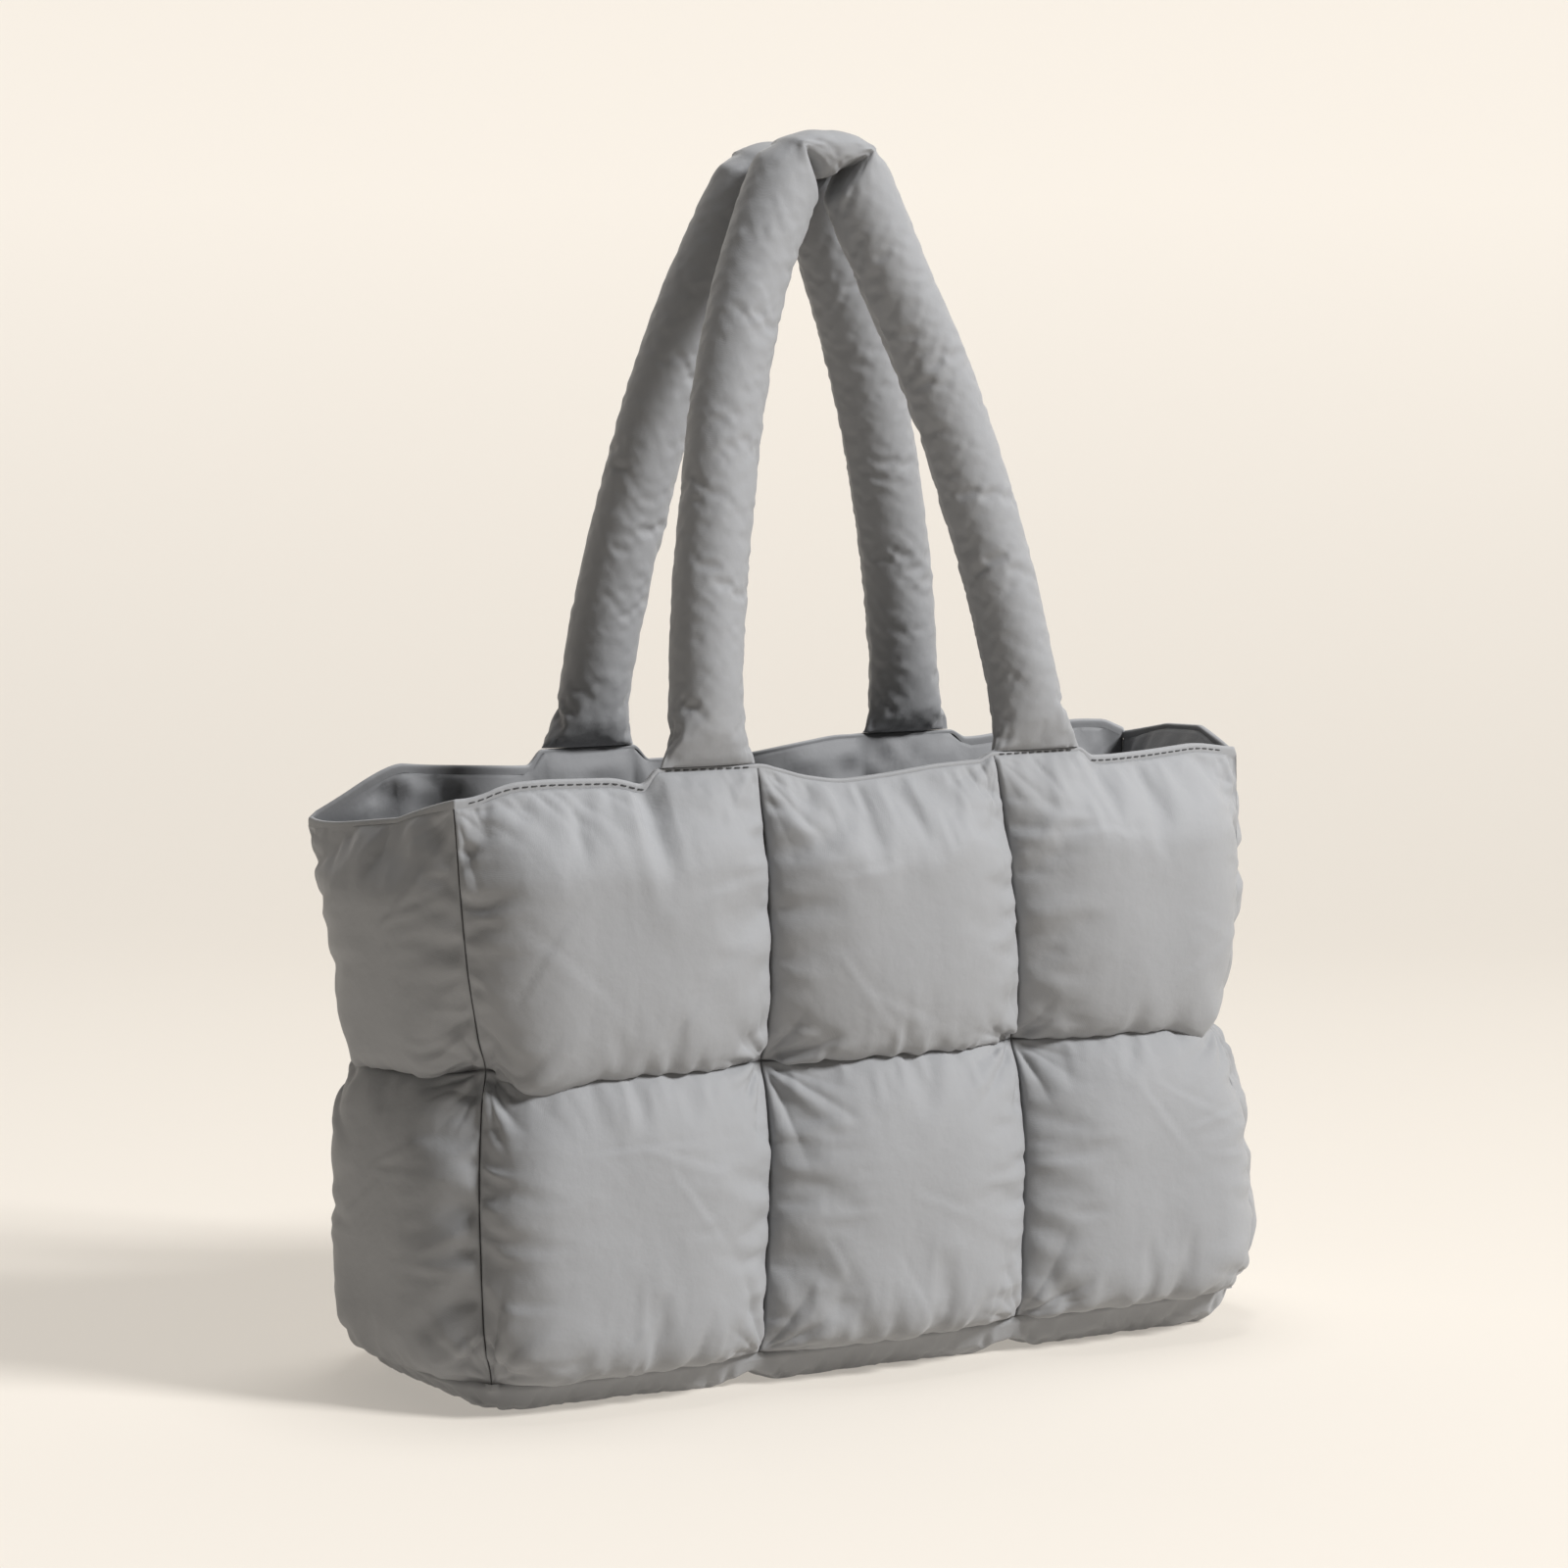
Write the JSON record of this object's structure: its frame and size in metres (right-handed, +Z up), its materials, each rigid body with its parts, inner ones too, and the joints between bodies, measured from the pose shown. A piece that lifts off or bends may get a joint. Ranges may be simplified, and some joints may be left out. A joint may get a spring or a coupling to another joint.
{
  "type": "puffer tote bag",
  "caption": "Padded quilted tote bag with an open top, a hemmed mouth and stuffed tube handles.",
  "frame": {"origin": "on the floor under the middle of the base", "axes": "+Z up through the mouth, +X along the bag's width to the right, +Y from the front to the back"},
  "size_m": [0.4612, 0.1908, 0.5615],
  "materials": {
    "shell": "semi-matte nylon",
    "hem": "semi-matte nylon",
    "handle": "semi-matte nylon"
  },
  "bodies": {
    "root": {"front_panel": "shell", "right_side": "shell", "back_panel": "shell", "left_side": "shell", "base_panel": "shell", "mouth_hem": "hem", "front_handle": "handle", "back_handle": "handle"}
  },
  "joints": []
}
